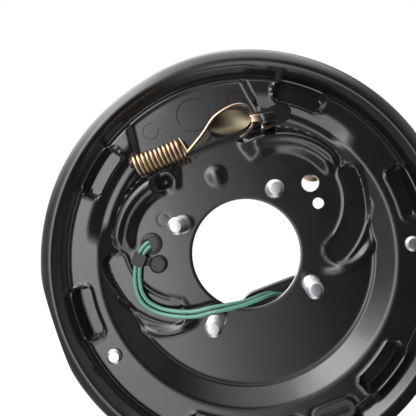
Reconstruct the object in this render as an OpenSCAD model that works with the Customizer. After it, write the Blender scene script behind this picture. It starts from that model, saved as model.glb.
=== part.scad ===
// Electric drum brake for a trailer wheel, seen from the axle side with the anchor at the top.
// The origin is the centre of the hub hole on the mounting face. +Z points to the anchor and
// +Y to the drum. Most modules draw in plan: x and z as seen from the axle side, and a height
// over the mounting face that is positive towards the axle and negative into the drum.

/* [Drum and backing plate] */
// Inside radius of the drum that the shoes press on
drum_r = 127; // [115:1:155]
// Thickness of the backing plate's steel sheet
sheet_t = 3.5; // [2.6:0.1:4.2]
// Radius of the hub hole
hub_r = 36.3; // [32:0.1:38]
// Half the side of the square land that lies on the axle flange
land = 41; // [38:0.5:43]
// Height of the outer ring over the mounting face
ring_h = 8; // [6:0.5:10]
// Height of the rounded rim over the mounting face
rim_h = 12; // [10:0.5:15]
// Width of the rim outside the drum
rim_w = 12; // [10:0.5:15]
// How far the two side flats cut into the rim
flat_cut = 6; // [3:0.5:8]
// Half the length of a shoe ledge
ledge_l = 11; // [8:0.5:13]
// Spacing of neighbouring mounting studs
stud_square = 66.7; // [64:0.1:72]
// Diameter of the mounting studs
stud_d = 11.1; // [9:0.1:13]
// Length of a stud past the mounting face
stud_len = 25; // [18:0.5:40]

/* [Shoes] */
// Width of the linings
lining_w = 57.2; // [48:0.1:70]
// Thickness of a new lining
lining_t = 4.8; // [3:0.1:6.5]
// Running clearance between lining and drum
drum_gap = 0.7; // [0.3:0.1:1.2]
// Thickness of the shoe table
table_t = 2.5; // [1.8:0.1:3.5]
// Thickness of the shoe web
web_t = 5; // [3.5:0.1:6]
// Radial depth of the shoe web
web_w = 31; // [28:0.5:34]
// Half the angle that a shoe table covers
shoe_angle = 57; // [50:1:60]

/* [Anchor] */
// Diameter of the anchor post where the shoes and the arm bear
post_d = 20; // [17:0.5:24]
// Diameter of the post's riveted tenon in the plate
tenon_d = 22; // [16:0.5:24]
// Diameter of the anchor rivets
rivet_d = 10.5; // [8:0.5:12]

/* [Arm and magnet] */
// Thickness of the actuating arm
arm_t = 5; // [4:0.1:6]
// Width of the actuating arm
arm_w = 16; // [12:0.5:18]
// Length of the oblong magnet
magnet_l = 70; // [60:1:76]
// Width of the oblong magnet
magnet_w = 50; // [42:1:54]
// Height of the magnet's case
magnet_h = 12; // [9:0.5:16]
// Travel of the magnet on its post
magnet_travel = 3; // [2:0.5:4]

/* [Star wheel adjuster] */
// Diameter of the adjuster's two sockets
socket_d = 16; // [14:0.5:18]
// Diameter of the adjuster screw
screw_d = 10; // [8:0.5:11]
// Diameter of the star wheel
wheel_d = 30; // [26:0.5:32]
// Number of teeth on the star wheel
wheel_teeth = 16; // [12:1:24]
// Distance between the two web ends that the adjuster spreads
adjuster_span = 56; // [52:1:66]

/* [Hold-downs] */
// Diameter of a hold-down pin
pin_d = 4.5; // [3.5:0.1:5.5]
// Diameter of a hold-down cup
cup_d = 18; // [15:0.5:19]

/* [Hand brake] */
// Thickness of the hand brake lever
lever_t = 5; // [4:0.1:5.5]
// Width of the hand brake lever
lever_w = 16; // [12:0.5:18]
// Thickness of the strut between the shoes
strut_t = 4; // [3:0.1:4.5]
// Height of the lever's outer arm over the mounting face
outer_h = 14; // [13:0.5:18]

/* [Springs and wires] */
// Outside diameter of the lever's return spring
lever_spring_d = 15.8; // [13:0.1:17]
// Number of turns of the lever's return spring
lever_spring_turns = 11; // [8:1:14]
// Outside diameter of the shoe return springs
return_spring_d = 9.6; // [8:0.1:11]
// Wire diameter of the springs
spring_wire = 2.2; // [1.6:0.1:2.6]
// Diameter of an insulated lead wire
lead_d = 2.6; // [2:0.1:3]

/* [Hidden] */
$fn = 64;

// Clearances: a running fit, a gap between loose pieces, and the overlap that closes a seam
fit = 0.05;
gap = 0.3;
seam = 0.15;
knurl = 0.15;
pinch = 0.5;
past = 1;

// Radii and heights of the backing plate's section. The disc round the land lies a little lower.
disc_h = -0.2;
rim_r = drum_r + rim_w;
rim_round = 11;
groove_r1 = rim_r - 15;
groove_r0 = groove_r1 - 5;
groove_h = 3.5;
ring_r1 = groove_r0 - 2;
ring_r0 = ring_r1 - 19;
disc_r = ring_r0 - 13.5;

// Places on the plate
anchor = [0, drum_r - 27];
adjuster_z = -(drum_r - 27);
ledge_r = drum_r - 14.5;
ledge_angles = [50, 130, 0.5, 179.5, -59.5, 239.5];
ledge_floor = -1;
ledge_h = ledge_floor - sheet_t;
hold_down = [drum_r - 24, -31];
plug_at = [17.5, adjuster_z - 11];
large_hole = [57.5, 28.5];
small_hole = [57.5, 14];
large_hole_r = 5.9;
small_hole_r = 3.8;
dimple = [-35, 64];
hook_hole = [-50.5, anchor[1] - 18];
pad_x = 41;
pad_h = 4;
pad_edge = anchor[1] - 21;
pad_foot = pad_edge - 5;
rivet_x = 31;
slot_x = [39.6, 63];
slot_z = [anchor[1] - 27, anchor[1] - 14.3];

// Heights of the shoes and of what lines up with their webs
table_h = ledge_h - gap;
shoe_end = table_h - lining_w;
web_top = table_h - (lining_w - web_t) / 2;
web_low = web_top - web_t;
web_mid = web_top - web_t / 2;
lining_r = drum_r - drum_gap;
table_r = lining_r - lining_t;
web_r = table_r - table_t - web_w;
toe_r = web_r + 24;
toe_x = 4;
spring_hole = [49, anchor[1] - 20];
low_spring_hole = [46, adjuster_z + 16];
hole_d = spring_wire + 1.2;

// The arm and what it carries
arm_top = web_low - 4.1;
arm_low = arm_top - arm_t;
arm_boss_r = post_d / 2 + 6.5;
push_stud = [-12.9, anchor[1] - 16];
push_stud_d = 7;
push_edge = push_stud[0] - push_stud_d / 2 - 0.2;
magnet_at = [7, -60];
magnet_gap = magnet_travel + 4;
magnet_top = arm_low - magnet_gap;
magnet_low = magnet_top - magnet_h;
magnet_face_t = 2;
magnet_post_d = 12;
magnet_corner = 20;
arm_line = [anchor, [-30, anchor[1] - 30], [-54, 30], [-56, 0], [-45, -35], [-12, -57], magnet_at];
neck_h = arm_low - gap - 6.6;
hook_step = 1.25;

// The adjuster's stations along X
fork_x = adjuster_span / 2;
fork_depth = 6;
fork_end = fork_x + fork_depth;
bore_in = fork_x - 1;
wheel_x = 15;
wheel_t = 4;
nut_in = -3;
cap_in = wheel_x + wheel_t + 0.5;
web_end = fork_x + gap;

// The hold-downs: the coils run from the web to the cup, and the pin's tip holds the cup
coil_end = web_low - 14;
cup_low = coil_end - 1.7;

// The hand brake's places
lever_pivot = [66, 38];
pivot_d = 8;
pivot_boss_r = 10;
lever_low = web_top + 2;
lever_top = lever_low + lever_t;
lever_tip = [46.5, anchor[1] - 22];
cam_stud_d = 10;
cam_stud = [57.5, 59.6];
cam_edge = cam_stud[0] + cam_stud_d / 2 + 0.2;
strut_top = web_mid + strut_t / 2;
strut_low = strut_top - strut_t;
strut_w = 10;
strut_line = [lever_pivot, [52, 50], [30, 53], [0, 54], [-30, 53], [-62, 50]];
strut_travel = 3.5;
strut_edge = -71;

// The lever's return spring lies along X behind the plate
lever_spring_r = (lever_spring_d - spring_wire) / 2;
lever_spring_at = [anchor[1] - 20.6, 12.5];
lever_spring_x = [-46, -13.4];

// Routes of the wires in plan: x, z and height
lead_a_route = [[-57.8, 27.3, 2.8], [-59.9, 26.7, 3], [-62.1, 25.4, 3.4], [-64.2, 23.5, 3.6],
  [-66.8, 20.5, 3.6], [-69.3, 16.7, 3.4], [-71.4, 12, 3.2], [-73, 6.5, 3], [-73.6, 1, 3],
  [-72.4, -5, 3], [-69, -10, 3], [-63.6, -14.6, 3.6], [-57, -18, 5], [-50, -20.6, 7], [-42.5, -21.5, 9],
  [-34, -22, 10.4], [-26, -25.6, 8.6],
  [-18, -27.2, 5], [-11, -29, 0.6], [-5, -30, -4], [0, -30.8, -9], [4.5, -32.2, -14], [8, -35, -18.6],
  [10.4, -39.2, -22], [11.4, -44, -23.6], [11.6, -49, -24.2]];
lead_b_route = [[-57.8, 30.4, 2.8], [-60.2, 29.8, 3], [-63.2, 28.3, 3.4], [-66.3, 25.9, 3.6],
  [-69.1, 22.5, 3.6], [-71.7, 18.6, 3.4], [-74.2, 13.5, 3.2], [-76.2, 7.5, 3], [-77, 1, 3],
  [-75.8, -6, 3], [-71.8, -12, 3.2], [-66, -16.8, 3.8], [-59, -20.6, 5], [-51, -23.8, 7], [-42.5, -24.3, 9.6],
  [-34, -24.7, 11.6],
  [-26, -27.4, 11.4], [-18, -29, 8.6], [-11, -30.4, 4.6], [-5, -31.2, 0.2], [0.5, -32, -4.6],
  [5.5, -33, -9.6], [10, -35, -14], [14, -38.4, -17.6], [16.6, -43, -19.6], [17.8, -48, -20.4]];
magnet_lead_route = [[-23.5, -68, -51.8], [-23.8, -68, -50], [-27, -67.6, -48.2], [-36, -64.4, -46],
  [-50, -54.6, -41.5], [-60, -40, -36], [-66, -24, -30], [-67, -8, -23], [-63.4, 8, -16], [-59.6, 19, -11],
  [-58.8, 26.8, -8], [-58.8, 27, -5.6]];
magnet_lead_step = [3, 2, 0];

function unit(v) = v / norm(v);
function perp(v) = [-v[1], v[0]];
function reversed(v) = [for (i = [len(v) - 1:-1:0]) v[i]];

// A polyline moved sideways by d, to its left as it runs
function side(p, d) = [for (i = [0:len(p) - 1])
  let (a = i == 0 ? unit(p[1] - p[0]) : unit(p[i] - p[i - 1]),
       b = i == len(p) - 1 ? a : unit(p[i + 1] - p[i]),
       n = unit(perp(a) + perp(b))) p[i] + n * d / (n * perp(a))];
function strip(p, w) = concat(side(p, w / 2), reversed(side(p, -w / 2)));

// A smooth curve through points, with n steps between two of them
function bend(a, b, c, d, t) = 0.5 * (2 * b + (c - a) * t + (2 * a - 5 * b + 4 * c - d) * t * t
  + (3 * b - a - 3 * c + d) * t * t * t);
function smooth(p, n) = let (m = len(p) - 1) concat([for (i = [0:m - 1]) for (k = [0:n - 1])
  bend(p[max(i - 1, 0)], p[i], p[i + 1], p[min(i + 2, m)], k / n)], [p[m]]);

// Directions along a wire, and a sideways direction carried along it without twist
function tangent(p, i) = unit(p[min(i + 1, len(p) - 1)] - p[max(i - 1, 0)]);
function level(v, t) = unit(v - t * (v * t));
function first_side(t) = level(abs(t[2]) < 0.8 ? [0, 0, 1] : [1, 0, 0], t);
function sideways(p, i = 0, last = undef) =
  let (t = tangent(p, i), n = last == undef ? first_side(t) : level(last, t))
  i == len(p) - 1 ? [n] : concat([n], sideways(p, i + 1, n));

// Points of a coil along x, that starts on its axis at s and turns about it from angle a
function coil(s, r, length, turns, steps, a = 0) = [for (i = [0:turns * steps])
  s + [length * i / (turns * steps), r * cos(a + 360 * i / steps), r * sin(a + 360 * i / steps)]];

// Draws its children in plan, with height as their third direction
module plan() rotate([90, 0, 0]) children();

// A wire of round section swept along points
module wire(p, d, sides) {
  n = sideways(p);
  ring = [for (i = [0:len(p) - 1]) let (u = n[i], v = cross(tangent(p, i), u))
    for (k = [0:sides - 1]) let (a = 360 * k / sides) p[i] + d / 2 * (u * cos(a) + v * sin(a))];
  last = (len(p) - 1) * sides;
  wall = [for (i = [0:len(p) - 2]) for (k = [0:sides - 1])
    let (a = i * sides + k, b = i * sides + (k + 1) % sides)
    each [[a, a + sides, b + sides], [a, b + sides, b]]];
  polyhedron(ring, concat([[for (k = [0:sides - 1]) k]], wall, [[for (k = [sides - 1:-1:0]) last + k]]));
}

// A cylinder that stands at p between two heights
module post(p, d, low, high) translate([p[0], p[1], low]) cylinder(d = d, h = high - low);

// A box between two corners
module block(a, b) translate(a) cube(b - a);

// A flat strip of even width along points, between two heights
module flat_bar(p, w, low, high) translate([0, 0, low]) linear_extrude(high - low) polygon(strip(p, w));

// A slot with round ends along x, between two heights
module slot(c, length, w, low, high) {
  reach = (length - w) / 2;
  block([c[0] - reach, c[1] - w / 2, low], [c[0] + reach, c[1] + w / 2, high]);
  for (s = [-1, 1]) post([c[0] + s * reach, c[1]], w - 0.02, low, high);
}

// A shape along an arc about c. Its wall is half widths with their heights, and its round ends
// are a little narrower and lower.
module trough(c, r, a0, a1, wall) {
  last = len(wall) - 1;
  right = [for (p = wall) [r + p[0], p[1]]];
  left = [for (p = reversed(wall)) [r - p[0], p[1]]];
  end = [for (i = [0:last]) wall[i] + [-pinch, i == 0 ? 0.2 : i == last ? -0.2 : 0]];
  translate([c[0], c[1], 0]) {
    rotate(a0) rotate_extrude(angle = a1 - a0) polygon(concat(right, left));
    for (a = [a0, a1]) rotate(a) translate([r, 0, 0])
      rotate_extrude() polygon(concat([[0, end[0][1]]], end, [[0, end[last][1]]]));
  }
}

// Draws its children on the right and mirrored on the left
module both_sides() {
  children();
  mirror([1, 0, 0]) children();
}

// Line of the plate's axle side from the hub hole to the rim, as radius and height
plate_line = concat([[hub_r - past, disc_h], [disc_r, disc_h], [ring_r0, ring_h], [ring_r1, ring_h],
  [groove_r0, groove_h], [groove_r1, groove_h], [rim_r - rim_round - 1.5, rim_h - 1]],
  [for (a = [90:-15:0]) [rim_r - rim_round + rim_round * cos(a), rim_h - rim_round + rim_round * sin(a)]],
  [[rim_r, -3]]);

// Everything that lies deeper than this under the plate's axle side
module under_skin(depth) {
  rotate_extrude($fn = 128)
    polygon(concat(side(plate_line, -depth), [[rim_r - depth, -20], [hub_r - past, -20]]));
}

module plate_sheet() {
  rotate_extrude($fn = 128) polygon(concat(plate_line, reversed(side(plate_line, -sheet_t))));
}

// Ledges for the shoes: pressed hollows that reach the shoes' edges on the drum side
module ledges(grow, top) {
  for (a = ledge_angles)
    trough([0, 0], ledge_r, a - ledge_l / ledge_r * 57.3, a + ledge_l / ledge_r * 57.3,
      [[4.5 + 0.75 * grow, ledge_floor - grow], [7.2 + grow, ring_h - 1], [7.4 + grow, top]]);
}

// Shallow bean-shaped hollows outside the stud square
module beans(grow, top) {
  both_sides() trough([38, 23], 47, -66, 3,
    [[7.5 + 0.6 * grow, -2 - grow], [9 + grow, 0.3 - grow / 2], [9.2 + grow, top]]);
}

// Raised ribs over the studs and small leaf ribs under them
module ribs() {
  both_sides() {
    trough([35, 22], 43, 20, 95, [[8.6, -past], [4.4, 4.3], [3.2, 5]]);
    trough([58, 6], 37, -105, -50, [[4.2, -past], [2, 2.1], [1.4, 2.5]]);
  }
}

// Their hollows on the drum side. The left one ends before the dimple.
module rib_hollows() {
  wall = [[5.4, -sheet_t - past], [4.8, -sheet_t + 0.4], [1.8, 5 - sheet_t]];
  trough([35, 22], 43, 20, 95, wall);
  mirror([1, 0, 0]) trough([35, 22], 43, 20, 66, wall);
  both_sides() trough([58, 6], 37, -105, -50,
    [[2.2, -sheet_t - past], [2, -sheet_t + 0.1], [1.1, 2.5 - sheet_t]]);
}

// The flat pad under the anchor: a strip that steps up from the disc, with folded sides
module anchor_pad() {
  line = [[groove_r1, pad_h], [pad_edge, pad_h], [pad_foot, disc_h], [pad_foot - 2, disc_h]];
  fold = [[pad_x - 2, pad_h], [pad_x, pad_h], [pad_x + ring_h - pad_h, ring_h], [pad_x + ring_h, ring_h]];
  intersection() {
    translate([-pad_x - 0.5, 0, 0]) rotate([90, 0, 90])
      linear_extrude(2 * pad_x + 1) polygon(concat(line, reversed(side(line, sheet_t))));
    post([0, 0], 2 * groove_r0 + 1.2, -20, 20);
  }
  intersection() {
    both_sides() translate([0, groove_r0, 0]) rotate([90, 0, 0])
      linear_extrude(groove_r0 - pad_edge + 0.5) polygon(concat(fold, reversed(side(fold, -sheet_t))));
    under_skin(0.1);
    post([0, 0], 2 * groove_r0 + 1.2, -20, 20);
  }
}

module pad_window() {
  intersection() {
    union() {
      block([-pad_x - 0.2, pad_foot + 0.5, -20], [pad_x + 0.2, groove_r1, 20]);
      block([-pad_x - 3.5, pad_edge, -20], [pad_x + 3.5, groove_r1, 20]);
    }
    post([0, 0], 2 * groove_r0 + 0.2, -25, 25);
  }
}

module plate_holes() {
  low = -20;
  high = 20;
  post([0, 0], 2 * hub_r, low, high);
  for (x = [-1, 1], z = [-1, 1]) post([x, z] * stud_square / 2, stud_d + 2 * knurl + 2 * fit, low, high);
  post(anchor, tenon_d + 2 * fit, low, high);
  for (x = [-rivet_x, rivet_x]) post([x, anchor[1]], rivet_d + 2 * fit, low, high);
  for (x = [-1, 1]) {
    post([x * large_hole[0], large_hole[1]], 2 * large_hole_r, low, high);
    post([x * small_hole[0], small_hole[1]], 2 * small_hole_r, low, high);
    post([x * hold_down[0], hold_down[1]], pin_d + 0.4, low, high);
    slot([x * plug_at[0], plug_at[1]], 24, 8, low, high);
  }
  post(hook_hole, spring_wire + 1.4, low, high);
  post(dimple, 10.5, -4.5, high);
  block([slot_x[0], slot_z[0], low], [slot_x[1], slot_z[1], high]);
}

module backing_plate() {
  color("#18191b") plan() difference() {
    union() {
      difference() {
        plate_sheet();
        pad_window();
      }
      anchor_pad();
      intersection() {
        union() {
          ledges(sheet_t, ring_h + past);
          beans(sheet_t, ring_h + past);
        }
        under_skin(sheet_t / 3);
      }
      difference() {
        block([-land, -land, -past], [land, land, 0]);
        post([0, 0], 2 * hub_r - past, -3, 3);
      }
      ribs();
      post(dimple, 15, -7.2, -past);
      post([0, 56], 15, -past, 1.6);
      post([0, 56], 10, -past, 2.5);
    }
    ledges(0, ring_h + past);
    beans(0, ring_h + past);
    rib_hollows();
    plate_holes();
    post([0, 56], 7, -10, -1.5);
    for (s = [-1, 1]) block([s == 1 ? rim_r - flat_cut : -rim_r - past, -60, -10],
      [s == 1 ? rim_r + past : flat_cut - rim_r, 60, 20]);
  }
}

// Studs pressed through the plate, with a slightly tapered part in its holes and round heads behind
module mounting_studs() {
  chamfer = 1.4;
  head_t = 4;
  seat = disc_h - sheet_t;
  r = stud_d / 2;
  color("#c9ccd0") plan() for (x = [-1, 1], z = [-1, 1])
    translate([x * stud_square / 2, z * stud_square / 2, 0]) rotate_extrude() polygon([
      [0, seat - head_t], [r + 2.4, seat - head_t], [r + 3.4, seat - head_t + 1], [r + 3.4, seat],
      [r + fit, seat], [r + knurl, 0], [r, 0], [r, stud_len - chamfer], [r - chamfer, stud_len],
      [0, stud_len]]);
}

// Plate on the drum side that spreads the anchor's load
module anchor_base_plate() {
  t = 5;
  top = pad_h - sheet_t;
  color("#9a9da1") plan() difference() {
    union() {
      block([-rivet_x, anchor[1] - 12, top - t], [rivet_x, anchor[1] + 12, top]);
      for (s = [-1, 1]) post([s * rivet_x, anchor[1]], 23.9, top - t, top);
    }
    post(anchor, tenon_d + 2 * fit, top - t - past, top + past);
    for (s = [-1, 1]) post([s * rivet_x, anchor[1]], rivet_d + 2 * fit, top - t - past, top + past);
  }
}

module anchor_post() {
  base = pad_h - sheet_t - 5;
  shoulder = tenon_d / 2 + 2.5;
  neck_r = post_d / 2 - 2.5;
  color("#a7aaae") plan() translate([anchor[0], anchor[1], 0]) rotate_extrude() polygon([
    [0, pad_h], [tenon_d / 2, pad_h], [tenon_d / 2, base], [shoulder, base],
    [shoulder, web_top + gap + 0.2], [post_d / 2, web_top + gap + 0.2],
    [post_d / 2, arm_low - 0.6], [neck_r, arm_low - 0.6], [neck_r, neck_h - 3],
    [post_d / 2 + 2, neck_h - 3], [post_d / 2 + 2, neck_h - 5], [post_d / 2 + 1, neck_h - 6], [0, neck_h - 6]]);
}

module anchor_rivets() {
  head = pad_h - sheet_t - 5;
  color("#6f7276") plan() for (s = [-1, 1]) translate([s * rivet_x, anchor[1], 0]) rotate_extrude() polygon([
    [0, pad_h], [rivet_d / 2, pad_h], [rivet_d / 2, head], [rivet_d / 2 + 3, head],
    [rivet_d / 2 + 2, head - 2.4], [rivet_d / 2 - 1, head - 3.2], [0, head - 3.2]]);
}

// Table of a shoe: part of a ring on the right side
module shoe_table() {
  rotate(-shoe_angle) rotate_extrude(angle = 2 * shoe_angle, $fn = 128) polygon([
    [table_r - table_t, shoe_end], [table_r, shoe_end], [table_r, table_h], [table_r - table_t, table_h]]);
}

// Web of a shoe on the right side, with its notch for the post and its squared lower end
module shoe_web() {
  difference() {
    union() {
      rotate(-shoe_angle + 1) rotate_extrude(angle = 2 * shoe_angle - 2, $fn = 128) polygon([
        [web_r - 5, web_low], [table_r - table_t + seam, web_low],
        [table_r - table_t + seam, web_top], [web_r - 5, web_top]]);
      intersection() {
        post([0, 0], 2 * toe_r, web_low, web_top);
        union() {
          block([toe_x, 0, web_low - 9], [200, 200, web_top + 9]);
          block([web_end, -200, web_low - 9], [200, 0.1, web_top + 9]);
        }
      }
    }
    post([0, 0], 2 * web_r, web_low - past, web_top + past);
    post(anchor, post_d + 2 * gap, web_low - past, web_top + past);
    post(spring_hole, hole_d, web_low - past, web_top + past);
    post(low_spring_hole, hole_d, web_low - past, web_top + past);
    post(hold_down, pin_d + 5, web_low - past, web_top + past);
  }
}

module primary_shoe() {
  fork_z = strut_line[len(strut_line) - 1][1];
  color("#3a3c40") plan() difference() {
    mirror([1, 0, 0]) {
      shoe_table();
      shoe_web();
    }
    block([push_edge, anchor[1] - 60, web_low - past], [0, anchor[1] - 10, web_top + past]);
    block([strut_edge, fork_z - 8, web_low - past], [strut_edge + 20, fork_z + 8, web_top + past]);
  }
}

module secondary_shoe() {
  low = [cam_edge, cam_stud[1] - 10];
  color("#3a3c40") plan() difference() {
    union() {
      shoe_table();
      shoe_web();
      intersection() {
        block([low[0], low[1], web_low], [web_r + 9, low[1] + 16, web_top]);
        post([0, 0], 2 * web_r + 9, web_low - past, web_top + past);
      }
    }
    block([low[0] - 20, low[1], web_low - past], [low[0], low[1] + 19, web_top + past]);
  }
}

module lining(a0, a1) {
  rotate(a0) rotate_extrude(angle = a1 - a0, $fn = 128) polygon([
    [table_r, shoe_end + 0.5], [lining_r, shoe_end + 0.5],
    [lining_r, table_h - 0.5], [table_r, table_h - 0.5]]);
}

module primary_lining() color("#57534c") plan() lining(136, 224);

module secondary_lining() color("#57534c") plan() lining(-50, 52);

// Bent arm from the anchor post round the hub to the magnet
module actuating_arm() {
  color("#b08a3e") plan() difference() {
    union() {
      flat_bar(smooth(arm_line, 4), arm_w, arm_low, arm_top);
      post(anchor, 2 * arm_boss_r, arm_low, arm_top);
      post(magnet_at, magnet_post_d + 14, arm_low, arm_top);
      post(push_stud, push_stud_d, arm_top - past, web_top + 0.1);
      post(push_stud, push_stud_d + 6, arm_low, arm_top);
    }
    post(anchor, post_d + 2 * fit, arm_low - past, arm_top + past);
    post(magnet_at, magnet_post_d + 2 * fit, arm_low - past, arm_top + past);
  }
}

module oblong(l, w, r, low, high) {
  block([-l / 2 + r, -w / 2, low], [l / 2 - r, w / 2, high]);
  block([-l / 2, -w / 2 + r, low], [l / 2, w / 2 - r, high]);
  for (x = [-1, 1], y = [-1, 1]) post([x * (l / 2 - r), y * (w / 2 - r)], 2 * r - 0.04, low, high);
}

module magnet_body() {
  color("#4a4c50") plan() translate([magnet_at[0], magnet_at[1], 0]) {
    oblong(magnet_l, magnet_w, magnet_corner, magnet_low + magnet_face_t, magnet_top - 2);
    oblong(magnet_l - 6, magnet_w - 6, magnet_corner - 3, magnet_low + magnet_face_t, magnet_top);
    difference() {
      post([0, 0], magnet_post_d, magnet_top - past, arm_top + 5);
      difference() {
        post([0, 0], magnet_post_d + 4, arm_top + gap - 0.1, arm_top + gap + 1.6);
        post([0, 0], magnet_post_d - 2.4, arm_top - 2, arm_top + 4);
      }
    }
  }
}

module magnet_face() {
  color("#2c2a28") plan() translate([magnet_at[0], magnet_at[1], 0])
    oblong(magnet_l - 3, magnet_w - 3, magnet_corner - 1.5, magnet_low, magnet_low + magnet_face_t);
}

// Coil along the magnet's post, from the magnet to the arm
module magnet_spring() {
  r = magnet_post_d / 2 + 3.4;
  turns = 3;
  steps = 14;
  d = 1.8;
  rise = magnet_gap - d - 0.5;
  color("#8a8d91") plan() wire([for (i = [0:turns * steps]) [magnet_at[0] + r * cos(360 * i / steps),
    magnet_at[1] + r * sin(360 * i / steps), magnet_top + d / 2 + 0.25 + rise * i / (turns * steps)]], d, 6);
}

// Split ring in the groove at the top of the magnet's post
module magnet_clip() {
  low = arm_top + gap;
  color("#8a8d91") plan() translate([magnet_at[0], magnet_at[1], 0]) rotate(20) rotate_extrude(angle = 320)
    polygon([[magnet_post_d / 2 - 1, low], [magnet_post_d / 2 + 3.5, low],
      [magnet_post_d / 2 + 3.5, low + 1.4], [magnet_post_d / 2 - 1, low + 1.4]]);
}

// A shoe return spring: hook round the post's neck, coil, and a hook down into the web
module shoe_spring(lift) {
  run = spring_hole - anchor;
  length = norm(run);
  d = spring_wire;
  r = (return_spring_d - d) / 2;
  hook = post_d / 2 - 2.5 + d / 2 + 0.7;
  turns = 8;
  steps = 10;
  start = hook + 10;
  last = length - 7;
  drop = web_top + 1 - neck_h - lift;
  points = concat(
    [[-hook * 0.2, -hook * 0.98, 0], [-hook * 0.75, -hook * 0.66, 0], [-hook, 0, 0],
     [-hook * 0.7, hook * 0.71, 0], [0, hook, 0], [hook * 0.7, hook * 0.78, 0], [start - 6, r * 0.9, 0]],
    coil([start, 0, 0], r, last - start, turns, steps),
    [[last + 3, r * 0.5, 0], [length - 1, 0, 0], [length, 0, 2.5], [length, 0, drop]]);
  translate([anchor[0], anchor[1], neck_h + lift]) rotate(atan2(run[1], run[0])) wire(points, d, 6);
}

module return_spring_primary() color("#5b6a4e") plan() mirror([1, 0, 0]) shoe_spring(-hook_step);

module return_spring_secondary() color("#5b6a4e") plan() shoe_spring(hook_step);

// A round bar along x on the adjuster's axis
module axle(x0, x1, d) translate([x0, adjuster_z, web_mid]) rotate([0, 90, 0]) cylinder(d = d, h = x1 - x0);

module fork_slot(x0, x1) block([x0, adjuster_z - 20, web_low - gap], [x1, adjuster_z + 20, web_top + gap]);

module adjuster_nut() {
  color("#b5b8bb") plan() difference() {
    axle(-fork_end, nut_in, socket_d);
    axle(-bore_in, nut_in + past, screw_d + 2 * fit);
    fork_slot(-fork_end - past, -fork_x);
  }
}

module star_wheel_screw() {
  color("#c2a14d") plan() difference() {
    union() {
      axle(-bore_in + gap, bore_in - gap, screw_d);
      axle(wheel_x, wheel_x + wheel_t, wheel_d);
    }
    for (i = [0:wheel_teeth - 1]) translate([wheel_x - past, adjuster_z, web_mid])
      rotate([i * 360 / wheel_teeth, 0, 0]) translate([0, wheel_d / 2 + 0.4, 0])
        rotate([0, 90, 0]) cylinder(d = 3.2, h = wheel_t + 2 * past, $fn = 24);
  }
}

module adjuster_cap() {
  color("#b5b8bb") plan() difference() {
    axle(cap_in, fork_end, socket_d);
    axle(cap_in - past, bore_in, screw_d + 2 * fit);
    fork_slot(fork_x, fork_end + past);
  }
}

// Spring along x that pulls the lower ends of the shoes on to the adjuster
module adjuster_spring() {
  d = spring_wire;
  r = 3.4;
  turns = 12;
  steps = 10;
  z = adjuster_z + wheel_d / 2 + r + d / 2 + 1.2;
  h = web_low - 6.2;
  half = 30;
  end = [low_spring_hole[0], low_spring_hole[1], web_top + 1];
  tail = [[end[0] - 10, z, h], [end[0] - 3, (z + end[1]) / 2, h], [end[0], end[1], h + 3], end];
  color("#5b6a4e") plan() wire(concat(reversed([for (p = tail) [-p[0], p[1], p[2]]]),
    coil([-half, z, h], r, 2 * half, turns, steps), tail), d, 6);
}

module hold_down_pin(s) {
  tip = cup_low - 1.6;
  color("#caa84a") plan() translate([s * hold_down[0], hold_down[1], 0]) rotate_extrude() polygon([
    [0, ring_h + 2.2], [3.4, ring_h + 2.2], [4.9, ring_h + 1.2], [4.9, ring_h], [pin_d / 2, ring_h],
    [pin_d / 2, cup_low], [pin_d / 2 + 1.3, cup_low], [pin_d / 2 + 1.3, tip], [0, tip]]);
}

module hold_down_spring(s) {
  d = 1.8;
  r = 7;
  turns = 4;
  steps = 12;
  high = web_low - d / 2 - 0.25;
  color("#8f949b") plan() wire([for (i = [0:turns * steps]) [s * hold_down[0] + r * cos(360 * i / steps),
    hold_down[1] + r * sin(360 * i / steps), high + (coil_end + d / 2 + 0.25 - high) * i / (turns * steps)]], d, 6);
}

module hold_down_cup(s) {
  top = coil_end;
  color("#caa84a") plan() translate([s * hold_down[0], hold_down[1], 0]) rotate_extrude() polygon([
    [pin_d / 2 + fit, cup_low + 1.2], [4, cup_low + 1.2], [5.5, top], [cup_d / 2, top],
    [cup_d / 2, top - 1.2], [6, top - 1.2], [4.5, cup_low], [pin_d / 2 + fit, cup_low]]);
}

module hold_down_pin_left() hold_down_pin(-1);
module hold_down_pin_right() hold_down_pin(1);
module hold_down_spring_left() hold_down_spring(-1);
module hold_down_spring_right() hold_down_spring(1);
module hold_down_cup_left() hold_down_cup(-1);
module hold_down_cup_right() hold_down_cup(1);

// Lever with its inner plate on the strut, a tab through the plate and a dished outer arm
module handbrake_lever() {
  tab_x = [lever_tip[0] - 5.5, lever_tip[0] + 4.5];
  tab_z = [lever_tip[1] - 3, lever_tip[1] + 2];
  spoon = [21.5, lever_tip[1] + 6.7];
  outer_t = 3;
  top = outer_h + outer_t;
  color("#c9a53f") plan() difference() {
    union() {
      flat_bar([lever_pivot, lever_tip], lever_w, lever_low, lever_top);
      post(lever_pivot, 2 * pivot_boss_r, lever_low, lever_top);
      post(cam_stud, cam_stud_d, web_low - 0.5, lever_low + past);
      block([tab_x[0], tab_z[0], lever_low], [tab_x[1], tab_z[1], top]);
      block([34, tab_z[0] + 1.6, outer_h], [tab_x[0] + 1, tab_z[1] + 1.4, top]);
      block([spoon[0] - 8, spoon[1] - 5.2, outer_h - 1], [spoon[0] + 14, spoon[1] + 3, top]);
      post([spoon[0] - 7.1, spoon[1] - 0.2], 10.6, outer_h - 1, top);
      post([spoon[0] + 4.5, spoon[1] + 0.6], 10, outer_h - 1, top);
    }
    post(lever_pivot, pivot_d + 2 * fit, lever_low - past, lever_top + past);
    slot([spoon[0] - 1, spoon[1] + 0.2], 20, 6.4, outer_h + 1, top + past);
  }
}

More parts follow.
